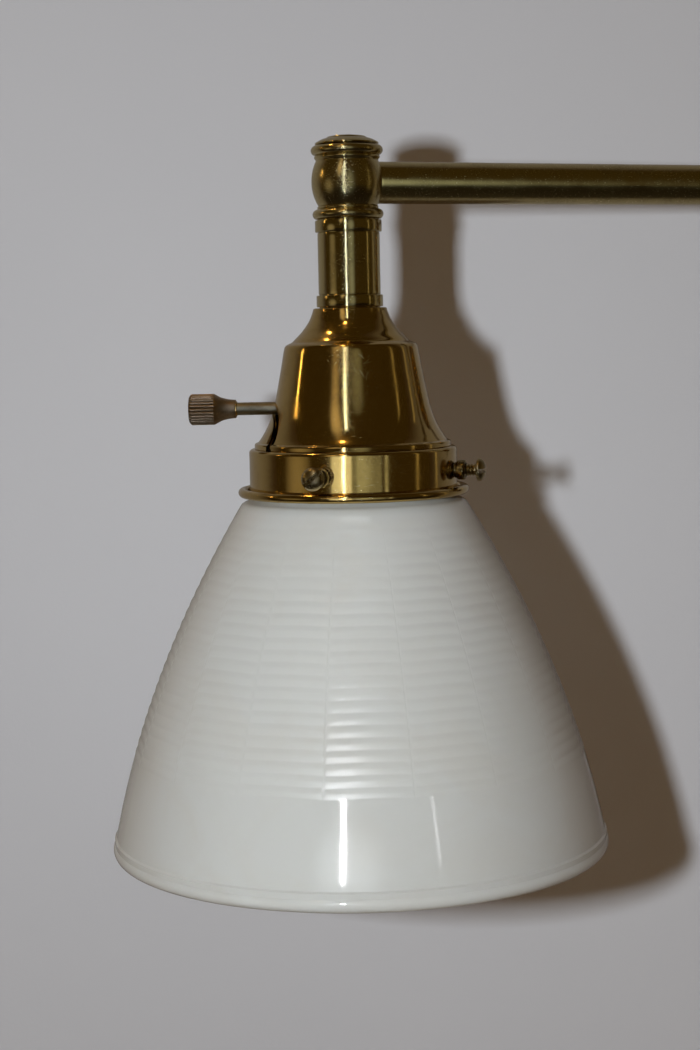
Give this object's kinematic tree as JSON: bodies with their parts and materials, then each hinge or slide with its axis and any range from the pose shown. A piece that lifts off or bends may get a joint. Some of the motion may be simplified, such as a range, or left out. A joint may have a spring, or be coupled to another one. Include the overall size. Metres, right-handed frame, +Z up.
{
  "type": "swing-arm wall light",
  "caption": "Brass swing-arm wall light with ball knuckles, a key-switch socket under a spun bell cover, a screw-clamped fitter band and a flared ribbed milk-glass shade.",
  "frame": {"origin": "centre of the mounting strap's back face, which lies on the wall", "axes": "+Y into the wall, +X to the right seen from the room, +Z up; the lamp stands out towards -Y and its resting arm runs to -X"},
  "size_m": [0.3554, 0.2144, 0.2245],
  "materials": {
    "polished_brass": "polished",
    "aged_brass": "polished, slightly tarnished",
    "dark_bronze": "dark patina",
    "gunmetal": "browned",
    "zinc_steel": "zinc plated",
    "spring_steel": "oiled",
    "milk_glass": "glossy opal",
    "frosted_glass": "frosted",
    "porcelain": "glazed",
    "phenolic": "moulded",
    "fibre": "pressed",
    "cord_cover": "satin"
  },
  "bodies": {
    "wall_bracket": {"mounting_strap": "zinc_steel", "wall_plate": "polished_brass", "ground_screw": "zinc_steel", "plate_stud_left": "zinc_steel", "plate_stud_right": "zinc_steel", "cap_nut_left": "polished_brass", "cap_nut_right": "polished_brass", "stub_nut": "zinc_steel", "stub_collar": "polished_brass", "stub_tube": "aged_brass", "supply_wire": "cord_cover", "post_upper_collar": "aged_brass", "pivot_post": "aged_brass", "post_lower_collar": "aged_brass", "post_finial": "aged_brass", "pivot_nipple": "zinc_steel", "pivot_spring_washer": "spring_steel", "pivot_nut": "zinc_steel", "pivot_stop_pin": "spring_steel"},
    "arm": {"wall_end_knuckle": "aged_brass", "wall_end_cap": "aged_brass", "arm_tube": "aged_brass", "arm_wire": "cord_cover", "lamp_end_knuckle": "aged_brass", "lamp_end_cap": "aged_brass"},
    "head": {"neck_upper_collar": "aged_brass", "neck_tube": "aged_brass", "neck_lower_collar": "aged_brass", "head_nipple": "zinc_steel", "head_spring_washer": "spring_steel", "head_nut": "zinc_steel", "head_stop_pin": "spring_steel", "bell_cover": "polished_brass", "bell_nut": "zinc_steel", "socket_cap": "polished_brass", "socket_shell": "polished_brass", "insulating_sleeve": "fibre", "switch_block": "porcelain", "terminal_screw_live": "aged_brass", "terminal_screw_neutral": "zinc_steel", "screw_shell": "polished_brass", "centre_contact": "aged_brass", "socket_ring": "polished_brass", "lamp_cord": "cord_cover", "shade_fitter": "polished_brass", "screw_bush_front": "polished_brass", "screw_bush_right": "polished_brass", "screw_bush_back": "polished_brass", "glass_shade": "milk_glass", "bulb_glass": "frosted_glass", "bulb_base": "zinc_steel", "bulb_contact": "zinc_steel"},
    "key": {"switch_rotor": "phenolic", "key_stem": "gunmetal", "key_knob": "dark_bronze"},
    "screw_front": {"shade_screw_front": "gunmetal"},
    "screw_right": {"shade_screw_right": "gunmetal"},
    "screw_back": {"shade_screw_back": "gunmetal"}
  },
  "joints": [
    {"name": "arm_swing", "type": "hinge", "parent": "wall_bracket", "child": "arm", "pos_m": [0, -0.06, 0.026], "axis": [0, 0, 1], "range_deg": [-12, 152]},
    {"name": "head_swivel", "type": "hinge", "parent": "arm", "child": "head", "pos_m": [-0.22553, -0.14208, 0.026], "axis": [0, 0, 1], "range_deg": [-165, 165]},
    {"name": "key_turn", "type": "hinge", "parent": "head", "child": "key", "pos_m": [-0.22553, -0.14208, -0.038], "axis": [-0.9986, 0.0523, 0], "continuous": true},
    {"name": "screw_front_travel", "type": "slide", "parent": "head", "child": "screw_front", "axis": [-0.3007, -0.9537, 0], "range_m": [0, 0.004]},
    {"name": "screw_right_travel", "type": "slide", "parent": "head", "child": "screw_right", "axis": [0.9613, -0.2756, 0], "range_m": [0, 0.004]},
    {"name": "screw_back_travel", "type": "slide", "parent": "head", "child": "screw_back", "axis": [-0.4695, 0.8829, 0], "range_m": [0, 0.004]}
  ]
}
